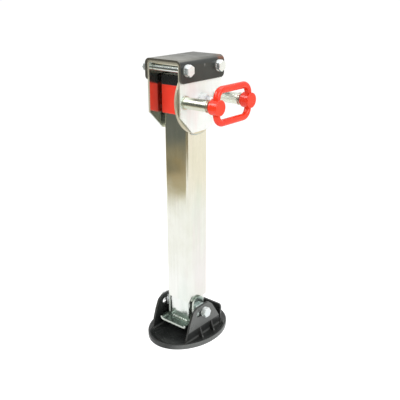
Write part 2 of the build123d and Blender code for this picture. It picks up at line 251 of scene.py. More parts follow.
def use(tree, group, **inputs):
    """Places a group in a material with its own values, and returns its mask."""
    node = tree.nodes.new("ShaderNodeGroup")
    node.node_tree = group
    for name, value in inputs.items():
        fill(tree, node.inputs[name], value)
    return node.outputs["Mask"]


print("helpers new_group and use")

# %% [markdown]
# ### Edge wear
# Handling rubs plating and paint off the edges first. A bevel node gives the normal
# that a rounded edge would have. Where that leans away from the true normal, there
# is an edge, and noise breaks the band up as real wear does.

# %% Edge wear
edge_wear, ends_in, ends_out = new_group(
    "edge_wear", {"Radius": 1 * MM, "Breakup": 0.5, "Scale": 300.0}, ["Mask"]
)
rounded = add(
    edge_wear, "ShaderNodeBevel", settings={"samples": 6}, Radius=ends_in.outputs["Radius"]
)
true_normal = add(edge_wear, "ShaderNodeNewGeometry", output=1)
lean = add(
    edge_wear, "ShaderNodeVectorMath", output=1,
    settings={"operation": "DOT_PRODUCT"}, n0=rounded, n1=true_normal,
)
band = fade(edge_wear, lean, 0.995, 0.86)
chips = add(
    edge_wear, "ShaderNodeTexNoise",
    Vector=place_on(edge_wear), Scale=ends_in.outputs["Scale"], Detail=4.0,
)
whole = minus(edge_wear, 1.0, fade(edge_wear, chips, 0.35, 0.65))
kept = times(edge_wear, ends_in.outputs["Breakup"], whole)
mask = times(edge_wear, band, minus(edge_wear, 1.0, kept), clamp=True)
edge_wear.links.new(mask, ends_out.inputs["Mask"])
print("group", edge_wear.name)

# %% [markdown]
# ### Dust and shade in corners
# Corners that a cloth can't reach keep dust and oil. Ambient occlusion measures how
# closed in a place is, and noise makes the dust lie in patches. On the zinc the mask
# darkens the corners, which is partly grime and partly painted shade.

# %% Dust and shade in corners
crevice_dust_and_shade, ends_in, ends_out = new_group(
    "crevice_dust_and_shade", {"Reach": 6 * MM, "Scale": 120.0}, ["Mask"]
)
open_sky = add(
    crevice_dust_and_shade, "ShaderNodeAmbientOcclusion", output=1,
    settings={"samples": 6}, Distance=ends_in.outputs["Reach"],
)
patches = add(
    crevice_dust_and_shade, "ShaderNodeTexNoise",
    Vector=place_on(crevice_dust_and_shade), Scale=ends_in.outputs["Scale"], Detail=5.0,
)
closed = fade(crevice_dust_and_shade, open_sky, 0.9, 0.3)
mask = times(crevice_dust_and_shade, closed, fade(crevice_dust_and_shade, patches, 0.3, 0.6), clamp=True)
crevice_dust_and_shade.links.new(mask, ends_out.inputs["Mask"])
print("group", crevice_dust_and_shade.name)

# %% [markdown]
# ### Scratches
# Handling leaves fine straight marks. A noise that is stretched far along one
# slanting direction has long contours, and the thin line round its middle value
# looks like a scratch. A second noise keeps only some of them.

# %% Scratches
scratches, ends_in, ends_out = new_group(
    "scratches", {"Scale": 60.0, "Slant": 0.4, "Width": 0.004}, ["Mask"]
)
slanted = add(
    scratches, "ShaderNodeVectorRotate",
    Vector=place_on(scratches), Axis=(0.3, 0.8, 0.5), Angle=ends_in.outputs["Slant"],
)
drawn = add(scratches, "ShaderNodeMapping", Vector=slanted, Scale=(1.0, 1.0, 0.07))
contours = add(
    scratches, "ShaderNodeTexNoise", Vector=drawn, Scale=ends_in.outputs["Scale"], Detail=1.0
)
off_line = calc(scratches, "ABSOLUTE", minus(scratches, contours, 0.5))
share = calc(scratches, "DIVIDE", off_line, ends_in.outputs["Width"])
near_line = minus(scratches, 1.0, share, clamp=True)
some = add(
    scratches, "ShaderNodeTexNoise", Vector=place_on(scratches), Scale=35.0, Detail=2.0
)
mask = times(scratches, near_line, fade(scratches, some, 0.5, 0.65), clamp=True)
scratches.links.new(mask, ends_out.inputs["Mask"])
print("group", scratches.name)

# %% [markdown]
# ## Finishes
# Each finish is one function that makes a material from a few values, so that the
# tubes, plates and bolts share a recipe and still differ. The Principled shader is
# in each material itself.


# %% Material helpers
def new_material(name):
    """A material with an empty graph, its shader and its surface output joined."""
    material = bpy.data.materials.new(name)
    material.use_nodes = True
    tree = material.node_tree
    tree.nodes.clear()
    shader = tree.nodes.new("ShaderNodeBsdfPrincipled")
    surface = tree.nodes.new("ShaderNodeOutputMaterial")
    tree.links.new(shader.outputs[0], surface.inputs["Surface"])
    return material, tree, shader


def relief(tree, shader, height, strength, distance):
    """Turns a height into the shader's normal."""
    bump = add(tree, "ShaderNodeBump", Height=height, Strength=strength, Distance=distance)
    tree.links.new(bump, shader.inputs["Normal"])


def rgb(red, green, blue):
    """A colour as a picture editor shows it, from 0 to 255, made linear."""
    parts = [c / 255 for c in (red, green, blue)]
    return (*[p / 12.92 if p <= 0.04045 else ((p + 0.055) / 1.055) ** 2.4 for p in parts], 1.0)


print("plain white is", rgb(255, 255, 255))

# %% [markdown]
# ### Zinc plate
# Bright zinc isn't one grey: it has soft clouds of warm, green and pink, faint
# marks of the rolled or drawn steel under it, small scratches, and a brighter rub
# along its edges. A painted image could carry all that, but it would have to be
# wrapped round every piece, and noise needs no wrapping. The green and pink patches
# are drawn out along the leg.


# %% Clouds of the zinc
def zinc_clouds(tree, light, shade):
    """Two tints of zinc with green and pink patches over them."""
    tint = fade(tree, cloud(tree, 14.0, 4.0), 0.32, 0.68)
    green_noise = cloud(tree, 22.0, 2.0, stretch=(1, 1, 0.22))
    green = fade(tree, green_noise, 0.5, 0.7, 0.0, 0.45)
    pink_noise = cloud(tree, 26.0, 2.0, stretch=(1, 1, 0.2), offset=(4, 9, 2))
    pink = fade(tree, pink_noise, 0.52, 0.72, 0.0, 0.35)
    base = mix(tree, green, mix(tree, tint, light, shade), rgb(226, 240, 230))
    return mix(tree, pink, base, rgb(242, 230, 232))


def zinc_dullness(tree, rough, mark, dirt_and_shade):
    """The roughness of the zinc: uneven, and duller in scratches and in closed corners."""
    uneven = fade(tree, cloud(tree, 30.0, 5.0, offset=(3, 1, 2)), 0.3, 0.7, -0.04, 0.06)
    dull = plus(tree, uneven, rough)
    dull = plus(tree, dull, times(tree, mark, 0.12))
    return plus(tree, dull, times(tree, dirt_and_shade, 0.25), clamp=True)


print("helpers zinc_clouds and zinc_dullness")

# %% [markdown]
# One recipe then takes the tint, the roughness and the direction of the grain.
# Three things are added where a piece has them. First, the plate of the head and
# the shank of a cover bolt are smoother between the cheeks than outside, where
# handling and weather have dulled them, and the plate is painted a darker grey
# between the cheeks, painted shade of the inside of the head.
# The inside fades out 30 to 33 mm from the middle. Second, the cut edge of a plate
# has its own tint and is duller than its faces, because shears tear the steel.
# Third, the faces of the shoe that look up or down are painted darker than its ears,
# painted shade on its floor between the ears and under the leg.

# %% Shared values of the zinc
steel_grain = rgb(150, 150, 140)
rubbed_zinc = rgb(250, 248, 238)
# Closed corners of the zinc take this colour: partly sooty grime, partly painted shade.
soot_and_shade = rgb(96, 88, 70)
inside_fades = (30 * MM, 33 * MM)
print("the inside fades from", inside_fades[0], "to", inside_fades[1], "m")


# %% Zinc
def zinc(
    name, light, shade, rough, grain, grain_scale=260.0, wear=0.5, relief_depth=0.01 * MM,
    cut_faces=None, cut_colour=None, inner_rough=None, inner_shade_colour=None, floor_shade_colour=None,
):
    """Zinc over steel. The grain is the stretch of the noise along X, Y and Z."""
    material, tree, shader = new_material(name)
    streak = cloud(tree, grain_scale, 3.0, grain)
    rub = use(tree, edge_wear, Radius=1.2 * MM, Breakup=wear, Scale=240.0)
    dirt_and_shade = use(tree, crevice_dust_and_shade, Reach=6 * MM, Scale=110.0)
    mark = use(tree, scratches, Scale=48.0, Slant=0.5, Width=0.004)
    base = zinc_clouds(tree, light, shade)
    base = mix(tree, fade(tree, streak, 0.3, 0.75, 0.0, 0.06), base, steel_grain)
    base = mix(tree, times(tree, rub, 0.55), base, rubbed_zinc)
    # Painted shade and grime: the zinc turns darker in its closed corners.
    base = mix(tree, times(tree, dirt_and_shade, 0.45), base, soot_and_shade)
    metal = 1.0
    # Painted shade: faces that look up or down are painted darker.
    if floor_shade_colour:
        base = mix(tree, times(tree, faces_along(tree, "Z"), 0.8), base, floor_shade_colour)
    if inner_rough:
        across = calc(tree, "ABSOLUTE", place_along(tree, "X"))
        outer = fade(tree, across, *inside_fades)
        rough = plus(tree, times(tree, outer, rough - inner_rough), inner_rough)
    # Between the cheeks the zinc is painted a darker grey, painted shade of the inside of the
    # head.
    if inner_shade_colour:
        base = mix(tree, outer, inner_shade_colour, base)
        metal = minus(tree, 1.0, times(tree, outer, 0.4))
    dull = zinc_dullness(tree, rough, mark, dirt_and_shade)
    if cut_faces:
        edge = cut_faces(tree)
        base = mix(tree, times(tree, edge, 0.9), base, cut_colour)
        dull = calc(tree, "MAXIMUM", dull, times(tree, edge, 0.5))
        metal = minus(tree, metal, times(tree, edge, 0.6))
    fill(tree, shader.inputs["Metallic"], metal)
    fill(tree, shader.inputs["Base Color"], base)
    fill(tree, shader.inputs["Roughness"], dull)
    relief(tree, shader, minus(tree, streak, times(tree, mark, 0.6)), 0.28, relief_depth)
    return material


print("recipe zinc")


# %% Cut edges
def plate_ends(tree):
    """The cut edges of the folded plates, which look along the head."""
    return faces_along(tree, "Y")


def plate_rim(tree):
    """The cut rim of the round plate, which looks away from its axis."""
    return minus(tree, 1.0, faces_along(tree, "X", 0.2, 0.6))


print("masks plate_ends and plate_rim")

# %% [markdown]
# The grain runs along the leg on the drawn tubes and the folded plate, along their
# axis on the barrels, as on drawn bar, and across the leg on the round plate and the
# shoe. The bolts are dull from barrel plating and have no grain.

# %% Zinc finishes
drawn_down = (1, 1, 0.05)
zinc_tube = zinc("zinc_tube", rgb(251, 252, 247), rgb(242, 243, 234), 0.13, drawn_down)
zinc_slide = zinc("zinc_slide_tube", rgb(251, 253, 250), rgb(242, 246, 241), 0.16, drawn_down)
zinc_sheet = zinc(
    "zinc_sheet", rgb(249, 255, 255), rgb(241, 252, 252), 0.5, (1, 1, 0.1),
    cut_faces=plate_ends, cut_colour=rgb(164, 158, 136),
    inner_rough=0.14, inner_shade_colour=rgb(224, 228, 222),
)
zinc_plate = zinc(
    "zinc_index_plate", rgb(232, 226, 206), rgb(212, 206, 184), 0.3, (1, 0.2, 1),
    cut_faces=plate_rim, cut_colour=rgb(176, 168, 144),
)
zinc_turned = zinc(
    "zinc_turned", rgb(242, 244, 232), rgb(222, 224, 206), 0.28, (0.1, 1, 1), grain_scale=420.0
)
zinc_shoe = zinc(
    "zinc_shoe", rgb(204, 216, 208), rgb(158, 178, 170), 0.28, (1, 0.3, 1),
    cut_faces=plate_ends, cut_colour=rgb(226, 232, 224), floor_shade_colour=rgb(122, 138, 128),
)
bolt_tints = (rgb(249, 254, 255), rgb(239, 246, 249))
bolt_zinc = zinc("bolt_zinc", *bolt_tints, 0.48, (1, 1, 1), grain_scale=500.0, wear=0.3)
cover_bolt_zinc = zinc(
    "cover_bolt_zinc", *bolt_tints, 0.48, (1, 1, 1), grain_scale=500.0, wear=0.3, inner_rough=0.16
)
print("zinc finishes", 8)

# %% [markdown]
# ### Black paint of the saddle
# Satin paint over a folded plate: a fine orange peel, edges where it is thin and
# shows grey, a brown rusty corner at the back, and a pale scuff on the flank. The
# cut ends are browner. The top is painted paler towards the front, a painted
# highlight on the satin top.
# Rust and scuff each have one place. They could be painted by hand, but a mask
# round one point is enough and can be moved by its numbers.

# %% Colour of the paint
black_paint, tree, shader = new_material("black_paint")
paint = mix(tree, fade(tree, cloud(tree, 18.0, 5.0), 0.3, 0.7), rgb(34, 38, 36), rgb(46, 49, 46))
thin = use(tree, edge_wear, Radius=1.6 * MM, Breakup=0.75, Scale=160.0)
paint = mix(tree, times(tree, thin, 0.45), paint, rgb(132, 128, 116))

rusty_corner = near_point(tree, (33 * MM, 50 * MM, 481 * MM), 20 * MM, 4 * MM)
rust = times(tree, rusty_corner, fade(tree, cloud(tree, 150.0, 6.0), 0.4, 0.6))
paint = mix(tree, times(tree, rust, 0.8), paint, rgb(122, 74, 52))

scuffed_spot = near_point(tree, (36.5 * MM, 4 * MM, 474.5 * MM), 3.4 * MM, 0.6 * MM)
scuff = times(tree, scuffed_spot, fade(tree, cloud(tree, 700.0, 3.0), 0.42, 0.58))
paint = mix(tree, times(tree, scuff, 0.4), paint, rgb(166, 166, 160))

paint = mix(tree, times(tree, faces_along(tree, "Y"), 0.85), paint, rgb(72, 69, 58))
# Painted highlight: the top is painted paler towards the front.
top_highlight = fade(tree, place_along(tree, "Y"), -50 * MM, 25 * MM, 0.85, 0.3)
paint = mix(tree, times(tree, faces_along(tree, "Z"), top_highlight), paint, rgb(122, 122, 114))
dust = use(tree, crevice_dust_and_shade, Reach=5 * MM, Scale=90.0)
paint = mix(tree, times(tree, dust, 0.35), paint, rgb(120, 114, 100))
fill(tree, shader.inputs["Base Color"], paint)
print("colour of", black_paint.name)

# %% Skin of the paint
sheen_spots = fade(tree, cloud(tree, 60.0, 4.0, offset=(5, 2, 1)), 0.3, 0.7, 0.32, 0.46)
dull = plus(tree, sheen_spots, times(tree, rust, 0.3), clamp=True)
fill(tree, shader.inputs["Roughness"], dull)
peel = cloud(tree, 900.0, 2.0)
relief(tree, shader, plus(tree, peel, times(tree, rust, 0.8)), 0.35, 0.1 * MM)
print("skin of", black_paint.name)

# %% [markdown]
# ### Moulded plastics
# The red of the handle and the block is a glossy moulded plastic with a slightly
# paler bloom on its edges. The foot is black plastic with a fine grain and dusty in
# its corners. The outer walls of its ears and the side of its rim are painted grey, a
# painted sheen of the light from the side. The faces of the block that look up or
# down are painted dark grey. All are moulded, so one recipe serves them, and the
# painted sheen of the foot's walls has a mask of its own.


# %% Painted sheen on the foot's walls
def foot_wall_sheen(tree):
    """A mask of the outside of the foot's ears and the side of its rim, where a painted sheen
    goes.
    """
    across = calc(tree, "ABSOLUTE", place_along(tree, "X"))
    up = place_along(tree, "Z")
    above_ribs = fade(tree, up, 23 * MM, 25 * MM)
    ears = times(tree, above_ribs, fade(tree, across, 40 * MM, 41.5 * MM))
    rim = fade(tree, up, 9.5 * MM, 8.5 * MM)
    return times(tree, faces_along(tree, "X", 0.3, 0.8), calc(tree, "MAXIMUM", ears, rim))


print("mask foot_wall_sheen")


# %% Plastics
def plastic(
    name, colour, paler, rubbed, rough, grain_depth, wear, dusty,
    gloss=0.5, dark_top_and_bottom=None, wall_sheen_colour=None,
):
    """A moulded plastic with a fine skin, rubbed edges and dust in its corners."""
    material, tree, shader = new_material(name)
    rub = use(tree, edge_wear, Radius=1 * MM, Breakup=0.6, Scale=200.0)
    dust = use(tree, crevice_dust_and_shade, Reach=8 * MM, Scale=90.0)
    mark = use(tree, scratches, Scale=40.0, Slant=1.1, Width=0.005)
    base = mix(tree, fade(tree, cloud(tree, 22.0, 4.0), 0.3, 0.7), colour, paler)
    base = mix(tree, times(tree, rub, wear), base, rubbed)
    base = mix(tree, times(tree, dust, dusty), base, rgb(118, 114, 104))
    # The outer walls of the foot get a painted sheen, a painted highlight of the light from the
    # side.
    if wall_sheen_colour:
        base = mix(tree, foot_wall_sheen(tree), base, wall_sheen_colour)
    # The faces that look up or down take this dark grey colour.
    if dark_top_and_bottom:
        base = mix(tree, faces_along(tree, "Z"), base, dark_top_and_bottom)
    patchy = cloud(tree, 45.0, 4.0, offset=(2, 7, 4))
    dull = fade(tree, patchy, 0.3, 0.7, rough - 0.06, rough + 0.08)
    fill(tree, shader.inputs["Base Color"], base)
    fill(tree, shader.inputs["Roughness"], plus(tree, dull, times(tree, mark, 0.2), clamp=True))
    shader.inputs["Specular IOR Level"].default_value = gloss
    skin = minus(tree, cloud(tree, 1500.0, 2.0), times(tree, mark, 0.5))
    relief(tree, shader, skin, 0.4, grain_depth)
    return material


red_handle = plastic(
    "red_handle_plastic", rgb(216, 42, 16), rgb(224, 54, 26), rgb(248, 112, 80),
    rough=0.2, grain_depth=0.03 * MM, wear=0.3, dusty=0.04,
)
red_block = plastic(
    "red_block_plastic", rgb(232, 48, 26), rgb(238, 58, 34), rgb(246, 116, 92),
    rough=0.36, grain_depth=0.04 * MM, wear=0.3, dusty=0.1,
    gloss=0.45, dark_top_and_bottom=rgb(44, 42, 36),
)
black_plastic = plastic(
    "black_foot_plastic", rgb(29, 31, 30), rgb(40, 42, 41), rgb(114, 114, 112),
    rough=0.3, grain_depth=0.08 * MM, wear=0.5, dusty=0.1, wall_sheen_colour=rgb(88, 90, 88),
)
print("plastics", 3)

# %% [markdown]
# ### Spring steel
# The springs are bare drawn wire under oil, so they are darker than the plated
# pieces. The zinc recipe in two dark greys gives that, with a finer grain.

# %% Spring steel
spring_steel = zinc(
    "spring_steel", rgb(150, 150, 148), rgb(120, 118, 112), 0.3, (1, 1, 1), grain_scale=600.0
)
print("made", spring_steel.name)

# %% [markdown]
# ### Which solid has which finish
# The list follows the stand from its head to its foot. It has to name every solid,
# so the cell prints both counts.

# %% Finishes on the solids
finishes = {
    "saddle_cover": black_paint,
    "housing": zinc_sheet,
    "cover_bolts": cover_bolt_zinc,
    "cover_washers": bolt_zinc,
    "cover_nuts": bolt_zinc,
    "pivot_bolt": bolt_zinc,
    "pivot_washers": bolt_zinc,
    "pivot_nut": bolt_zinc,
    "pivot_sleeve": zinc_turned,
    "plunger_barrels": zinc_turned,
    "barrel_caps": zinc_turned,
    "plunger_pins": zinc_turned,
    "plunger_springs": spring_steel,
    "release_handle": red_handle,
    "index_plate_right": zinc_plate,
    "pivot_spacer": zinc_turned,
    "pivot_block": red_block,
    "top_pad": black_plastic,
    "outer_tube": zinc_tube,
    "clamp_nut": bolt_zinc,
    "clamp_bolt": bolt_zinc,
    "inner_tube": zinc_slide,
    "foot_shoe": zinc_shoe,
    "foot_bolt": bolt_zinc,
    "foot_spacer_nuts": bolt_zinc,
    "foot_washers": bolt_zinc,
    "foot_lock_nut": bolt_zinc,
    "foot_pad": black_plastic,
}
for node_name, finish in finishes.items():
    solid = nodes[node_name]
    if not solid.material_slots:
        solid.data.materials.append(finish)
    for slot in solid.material_slots:
        slot.material = finish
print("finished solids", len(finishes), "of", len(nodes))

# %% [markdown]
# ## Small pieces
# Welds, threads and the plastic rings of the lock nuts are what a CAD model leaves
# out and a camera sees. Each is swept from one small circle, finished in place and
# then told which body of the stand it moves with.


# %% Piece helpers
def to_object(name, form, finish):
    """Turns a bmesh, which stands in its place, into an object with one finish."""
    mesh = bpy.data.meshes.new(name)
    form.to_mesh(mesh)
    form.free()
    mesh.materials.append(finish)
    made = bpy.data.objects.new(name, mesh)
    scene.collection.objects.link(made)
    return made


def new_piece(name, form, finish, body=None):
    """Makes a smooth piece of the stand, and lets it ride on a body if it has one."""
    bmesh.ops.recalc_face_normals(form, faces=form.faces)
    piece = to_object(name, form, finish)
    piece.data.shade_smooth()
    if body:
        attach(piece, body)
    print(name, "faces", len(piece.data.polygons))
    return piece


def close_ends(form):
    """Fills the open ends of a swept shape."""
    bmesh.ops.holes_fill(form, edges=[edge for edge in form.edges if edge.is_boundary])


print("helpers to_object, new_piece and close_ends")

# %% [markdown]
# ### Weld seams
# A hand weld is a row of overlapping puddles, so its surface has crescents across
# the seam, swells unevenly and thins out at both ends. It could be sculpted, but a
# formula fits a seam of any length: a ring of points is swept in steps of about half
# a millimetre, and each ring is then pushed in and out. The seam is half sunk in
# the metal. After plating it is as bright as the plate, and the corner above it is
# painted darker, partly sooty oxide and partly painted shade.

# %% Weld finish
weld_zinc = zinc(
    "weld_zinc", rgb(206, 216, 210), rgb(146, 152, 144), 0.3, (1, 1, 1),
    grain_scale=500.0, wear=0.3, relief_depth=0.04 * MM,
)
print("made", weld_zinc.name)


# %% Weld seam
bead_step = 0.55 * MM
off_joint = 0.4 * MM


def bead_size(name, point, length, radius, pitch):
    """How thick the bead is at a point: ripples, slow swells, fine grain and thin ends."""
    run, side = point.xy
    puddle = cos(2 * pi * (run + 0.5 * abs(side)) / pitch)
    swell = noise.noise(Vector((run * 260, len(name), 0)))
    grain = noise.noise(point * 900)
    end = min(1.0, 0.3 + (length / 2 - abs(run)) / (2 * radius))
    return end * (1 + 0.14 * puddle + 0.24 * swell + 0.08 * grain)


def weld_seam(name, length, radius, pitch, stand, body, bend=None):
    """A rippled seam along its own X, bent round a centre below it if it has one, then
    stood in place."""
    form = bmesh.new()
    start = Matrix.Translation((-length / 2, 0, 0)) @ Matrix.Rotation(pi / 2, 4, "Y")
    bmesh.ops.create_circle(form, segments=12, radius=radius, matrix=start)
    steps = round(length / bead_step)
    bmesh.ops.spin(
        form, geom=form.verts[:] + form.edges[:], cent=(0, 0, 0), axis=(1, 0, 0),
        dvec=(length / steps, 0, 0), angle=0.0, steps=steps,
    )
    close_ends(form)
    for vert in form.verts:
        run, side, up = vert.co
        size = bead_size(name, vert.co, length, radius, pitch)
        vert.co = (run, side * size, up * size)
        if bend:
            arm = Vector((0, vert.co.y, bend + vert.co.z))
            vert.co = Matrix.Rotation(run / bend, 3, "Y") @ arm
    bmesh.ops.transform(form, verts=form.verts, matrix=stand)
    return new_piece(name, form, weld_zinc, body)


print("one seam has a ring every", round(bead_step, 5), "m")

# %% [markdown]
# The inner tube stands on the shoe's floor and is welded to it along its front and
# back. Each seam leans into the corner between the two. Its middle lies just off
# the line where they meet, so that most of it shows.

# %% Shoe welds
inner_low, inner_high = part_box("inner_tube")
for end_name, face, lean in (("front", inner_low.y, 40), ("back", inner_high.y, -40)):
    corner = Matrix.Translation((0, face, inner_low.z + off_joint))
    stand = corner @ Matrix.Rotation(radians(lean), 4, "X")
    weld_seam(
        f"shoe_weld_{end_name}", length=38 * MM, radius=2.6 * MM, pitch=4.6 * MM,
        stand=stand, body="slide_leg",
    )

# %% [markdown]
# ### Seams of the index plate
# The round plate is welded to the side of the tube along its lower rim and down
# both corners of the tube, where the plate overhangs them. The lower seam is the
# same straight bead, bent to the plate's radius. The upright seams lie beside the
# plate and a little inside the tube's corners, because those are rounded.

# %% Index plate welds
plate_low, plate_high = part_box("index_plate_right")
plate_middle = (plate_low + plate_high) / 2
plate_radius = (plate_high.z - plate_low.z) / 2
under_plate = Matrix.Translation((plate_low.x + off_joint, plate_middle.y, plate_middle.z))
hang_down = Matrix.Rotation(pi, 4, "X") @ Matrix.Rotation(pi / 2, 4, "Z")
weld_seam(
    "plate_weld_low", length=36 * MM, radius=1.7 * MM, pitch=3.2 * MM,
    stand=under_plate @ hang_down, body="leg", bend=plate_radius + 0.6 * MM,
)
tube_low, tube_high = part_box("outer_tube")
beside_plate = plate_low.x - 1.2 * MM
seam_middle = tube_high.z - 12 * MM
corner_inset = 0.985
for end_name, corner_y in (("front", tube_low.y), ("back", tube_high.y)):
    corner = Matrix.Translation((beside_plate, corner_y * corner_inset, seam_middle))
    upright = corner @ Matrix.Rotation(pi / 2, 4, "Y")
    weld_seam(
        f"plate_weld_{end_name}", length=22 * MM, radius=1.9 * MM, pitch=3.2 * MM,
        stand=upright, body="leg",
    )

# %% [markdown]
# ### Bolt threads
# The bolts are stored as plain shanks. Where an end stands out of its nut, a thin
# ridge winds round it at the pitch of a metric bolt, a quarter of a millimetre
# proud. The Screw modifier makes such a helix too, but a spin with a step along its
# axis leaves a plain mesh from one small circle, with nothing to apply.

# %% Thread sizes
thread_pitch = 1.5 * MM
thread_line = 4.8 * MM
ridge_radius = 0.45 * MM
steps_per_turn = 20
gap = 0.5 * MM
rounded_tip = 1.2 * MM
bare_ends = 2.2 * MM
clamp_run = 2.2 * MM
washer_radius = 9 * MM
print("ridge stands at", round(thread_line + ridge_radius, 5), "m from the axis")


# %% Threads
def thread(name, start, run, body):
    """A helical ridge round a bolt, from its start point along the vector run."""
    form = bmesh.new()
    at_line = Matrix.Translation((0, thread_line, 0))
    bmesh.ops.create_circle(form, segments=4, radius=ridge_radius, matrix=at_line)
    steps = round(run.length / thread_pitch * steps_per_turn)
    bmesh.ops.spin(
        form, geom=form.verts[:] + form.edges[:], cent=(0, 0, 0), axis=(1, 0, 0),
        dvec=(thread_pitch / steps_per_turn, 0, 0), angle=2 * pi * steps / steps_per_turn,
        steps=steps,
    )
    close_ends(form)
    facing = run.to_track_quat("X", "Z").to_matrix().to_4x4()
    bmesh.ops.transform(form, verts=form.verts, matrix=Matrix.Translation(start) @ facing)
    return new_piece(name, form, bolt_zinc, body)


def middle(node_name):
    """The middle of a solid's box, which lies on the axis of a bolt."""
    low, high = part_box(node_name)
    return (low + high) / 2


print("helpers thread and middle")

# %% [markdown]
# Each thread starts just outside its nut and stops before the rounded tip, so its
# place and length come from the boxes of the bolt and the nut. The clamp bolt shows
# only between its nut and its head, so its thread has a length of its own.

# %% Thread of the pivot bolt
pivot_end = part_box("pivot_bolt")[1].x
pivot_nut_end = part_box("pivot_nut")[1].x
start = middle("pivot_bolt")
start.x = pivot_nut_end + gap
thread("pivot_thread", start, Vector((pivot_end - pivot_nut_end - bare_ends, 0, 0)), "head")

# %% Threads of the cover bolts
cover_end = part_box("cover_bolts")[0].x
cover_nut_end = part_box("cover_nuts")[0].x
bolt_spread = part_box("cover_washers")[1].y - washer_radius
for end_name, side in (("front", -1), ("back", 1)):
    start = Vector((cover_nut_end - gap, side * bolt_spread, middle("cover_bolts").z))
    run = Vector((cover_end - cover_nut_end + rounded_tip, 0, 0))
    thread(f"cover_thread_{end_name}", start, run, "head")

# %% Threads of the foot bolt and the clamp bolt
foot_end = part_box("foot_bolt")[0].x
foot_nut_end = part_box("foot_lock_nut")[0].x
start = middle("foot_lock_nut")
start.x = foot_nut_end - gap
thread("foot_thread", start, Vector((foot_end - foot_nut_end + rounded_tip, 0, 0)), "foot_joint")

start = middle("clamp_nut")
start.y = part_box("clamp_nut")[1].y + gap
thread("clamp_thread", start, Vector((0, clamp_run, 0)), "leg")

# %% [markdown]
# ### Rings of the lock nuts
# A lock nut grips its bolt with a pale plastic ring that sits in the nut's collar
# and bulges a little round the thread. A torus would be too round, so a small
# flattened circle is spun once round the bolt.

# %% Ring plastic
nut_ring = plastic(
    "nut_ring_plastic", rgb(182, 190, 200), rgb(196, 202, 208), rgb(214, 216, 216),
    rough=0.4, grain_depth=0.02 * MM, wear=0.2, dusty=0.3,
)
print("made", nut_ring.name)


# %% Lock rings
ring_section = 0.7 * MM
ring_line = 5.75 * MM
flattened = 0.6


def lock_ring(name, centre, body):
    """A flattened ring round an axis along X."""
    form = bmesh.new()
    bmesh.ops.create_circle(form, segments=8, radius=ring_section)
    half_side = Matrix.Rotation(radians(22.5), 3, "Z")
    bmesh.ops.rotate(form, verts=form.verts, cent=(0, 0, 0), matrix=half_side)
    bmesh.ops.scale(form, verts=form.verts, vec=(flattened, 1, 1))
    bmesh.ops.translate(form, verts=form.verts, vec=(0, ring_line, 0))
    bmesh.ops.spin(
        form, geom=form.verts[:] + form.edges[:], cent=(0, 0, 0), axis=(1, 0, 0),
        dvec=(0, 0, 0), angle=2 * pi, steps=32, use_merge=True,
    )
    bmesh.ops.translate(form, verts=form.verts, vec=centre)
    return new_piece(name, form, nut_ring, body)


lock_ring("pivot_lock_ring", Vector((pivot_nut_end, *middle("pivot_nut").yz)), "head")
for end_name, side in (("front", -1), ("back", 1)):
    centre = Vector((cover_nut_end, side * bolt_spread, middle("cover_bolts").z))
    lock_ring(f"cover_lock_ring_{end_name}", centre, "head")
lock_ring("foot_lock_ring", Vector((foot_nut_end, *middle("foot_lock_nut").yz)), "foot_joint")

# %% [markdown]
# ### Plunger springs
# A spring's one end stays at the barrel's cap while the other follows the pin's
# collar, so its coils close up when the handle is pulled. The stored spring is
# rigid. Bones or shape keys could bend a copy of it; here a coil of the same size
# is swept in its place and stays as it is.

# %% Plunger springs
spring_low, spring_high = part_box("plunger_springs")
wire = 1.5 * MM
coil_radius = 5.6 * MM
collar_radius = 7 * MM
turns = 6
coil_steps = turns * 24
coil_run = spring_high.x - spring_low.x - wire
pin_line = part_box("plunger_pins")[1].y - collar_radius
pivot_z = middle("plunger_pins").z
form = bmesh.new()
for side in (-1, 1):
    first = (spring_low.x + wire / 2, side * pin_line + coil_radius, pivot_z)
    ring = bmesh.ops.create_circle(
        form, segments=8, radius=wire / 2, matrix=Matrix.Translation(first)
    )["verts"]
    around = list({edge for vert in ring for edge in vert.link_edges})
    bmesh.ops.spin(
        form, geom=ring + around, cent=(0, side * pin_line, pivot_z), axis=(1, 0, 0),
        dvec=(coil_run / coil_steps, 0, 0), angle=2 * pi * turns, steps=coil_steps,
    )
close_ends(form)
coil_springs = new_piece("coil_springs", form, spring_steel)
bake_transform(coil_springs)
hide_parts("plunger_springs")

# %% [markdown]
# ## Studio
# The stand is photographed on a white sheet that runs out of the picture, under
# large soft lights. Bright metal shows what is round it, so the reflections
# matter more than the lights: the front of the leg mirrors the edge of the sheet
# and the dark space beyond it, and the handle's side mirrors white sheet.
# The picture is burnt out round the foot, so nothing shows how high the sheet lies.
# It lies where the foot stands when the leg is fully extended, so that it never
# hides the foot.


# %% Sheet helpers
def flat_square(name, size, height, finish):
    """A flat square in the ground's plane."""
    form = bmesh.new()
    bmesh.ops.create_grid(form, x_segments=1, y_segments=1, size=size / 2)
    bmesh.ops.translate(form, verts=form.verts, vec=(0, 0, height))
    return to_object(name, form, finish)


def glow(shader, strength):
    """Makes a surface shine by itself and mirror nothing."""
    shader.inputs["Specular IOR Level"].default_value = 0.0
    shader.inputs["Emission Strength"].default_value = strength


print("helpers flat_square and glow")

# %% Floor
sheet_white, tree, shader = new_material("studio_sheet")
paper = mix(tree, cloud(tree, 3.0, 2.0), rgb(196, 196, 196), rgb(200, 200, 200))
fill(tree, shader.inputs["Base Color"], paper)
shader.inputs["Roughness"].default_value = 0.9
shader.inputs["Emission Color"].default_value = (1, 1, 1, 1)
glow(shader, 0.55)
extension = next(j for j in frame["joints"] if j["name"] == "leg_extend")["range_m"][1]
studio_floor = flat_square("studio_floor", 40.0, -extension - 0.5 * MM, sheet_white)
studio_floor.visible_glossy = False
print("floor", studio_floor.dimensions.x, "m")

